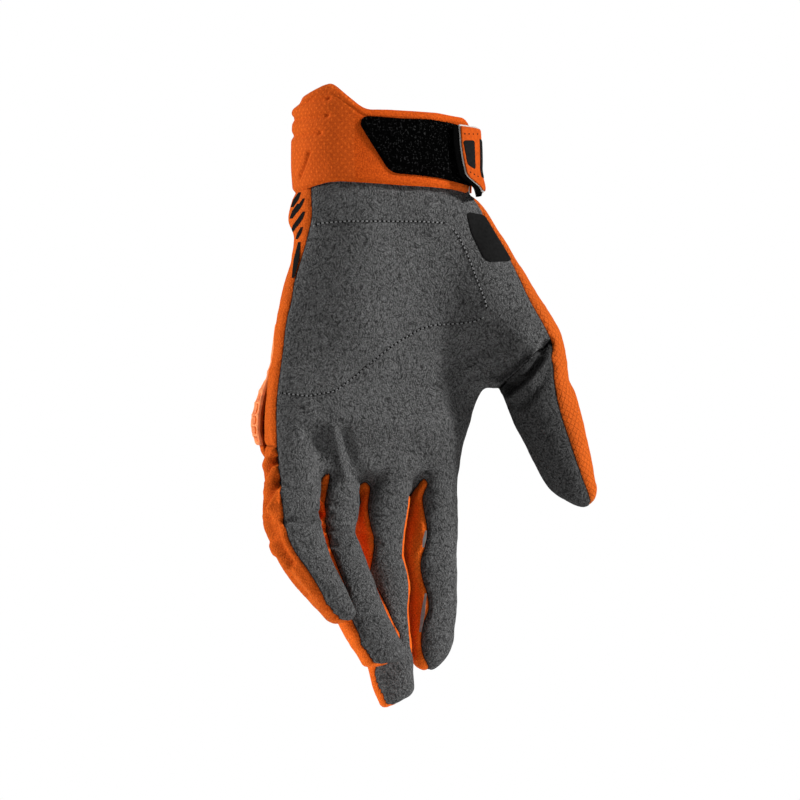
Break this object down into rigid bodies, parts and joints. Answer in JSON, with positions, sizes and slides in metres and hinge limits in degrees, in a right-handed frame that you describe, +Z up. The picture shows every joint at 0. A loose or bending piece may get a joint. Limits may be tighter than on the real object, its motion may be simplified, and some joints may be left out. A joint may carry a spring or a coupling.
{
  "type": "motocross glove",
  "caption": "Left-hand full-finger motocross glove with a suede palm, mesh back, moulded knuckle guard and a padded cuff closed by a wrap-around strap.",
  "frame": {"origin": "centre of the wrist opening, at the level of the cuff's upper edge on the palm side", "axes": "+Z up out of the wrist opening with the fingers pointing down, -Y the side that the palm faces, +X the thumb side"},
  "size_m": [0.1309, 0.0599, 0.2389],
  "materials": {
    "palm_suede": "matte grained synthetic suede",
    "back_mesh": "matte stretch mesh with fine perforations",
    "cuff_knit": "padded knit with small round perforations",
    "loop_pile": "dense black loop pile",
    "strap_face": "satin moulded strap with a foam edge",
    "flat_print": "matte black flat panel",
    "guard_rubber": "satin moulded rubber"
  },
  "bodies": {
    "root": {"palm_panel": "palm_suede", "thumb_front": "palm_suede", "thumb_back": "back_mesh", "back_panel": "back_mesh", "side_strip_index_middle": "back_mesh", "side_strip_middle_ring": "back_mesh", "side_strip_ring_little": "back_mesh", "finger_backs": "back_mesh", "cuff_palm": "cuff_knit", "cuff_back": "cuff_knit", "loop_patch": "loop_pile", "strap": "strap_face", "strap_panel_front": "flat_print", "strap_panel_side": "flat_print", "strap_panel_back": "flat_print", "grip_tag": "flat_print", "knuckle_guard": "guard_rubber"}
  },
  "joints": []
}
